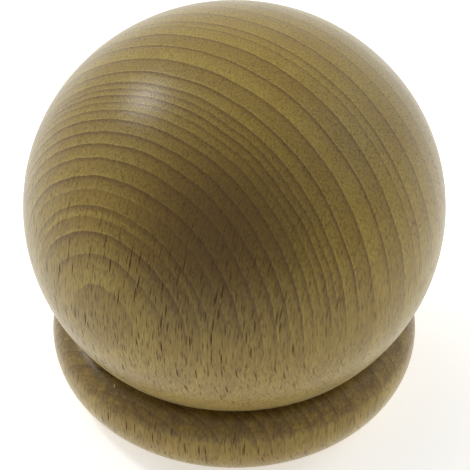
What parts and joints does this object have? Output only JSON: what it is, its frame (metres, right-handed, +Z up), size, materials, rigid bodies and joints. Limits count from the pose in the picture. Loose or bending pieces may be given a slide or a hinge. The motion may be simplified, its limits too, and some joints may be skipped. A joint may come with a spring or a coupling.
{
  "type": "wooden ball finial",
  "caption": "Turned beech ball on a round-edged foot, with a blind dowel hole up its axis, for capping a post or as a knob.",
  "frame": {"origin": "centre of the flat underside of the foot", "axes": "+Z up along the turning axis, from the foot towards the top of the ball; -Y towards the viewer, with the heart of the tree to the front left"},
  "size_m": [0.06, 0.06, 0.0578],
  "materials": {
    "beech": "clear satin lacquer over sanded beech"
  },
  "bodies": {
    "root": {"ball_finial": "beech"}
  },
  "joints": []
}
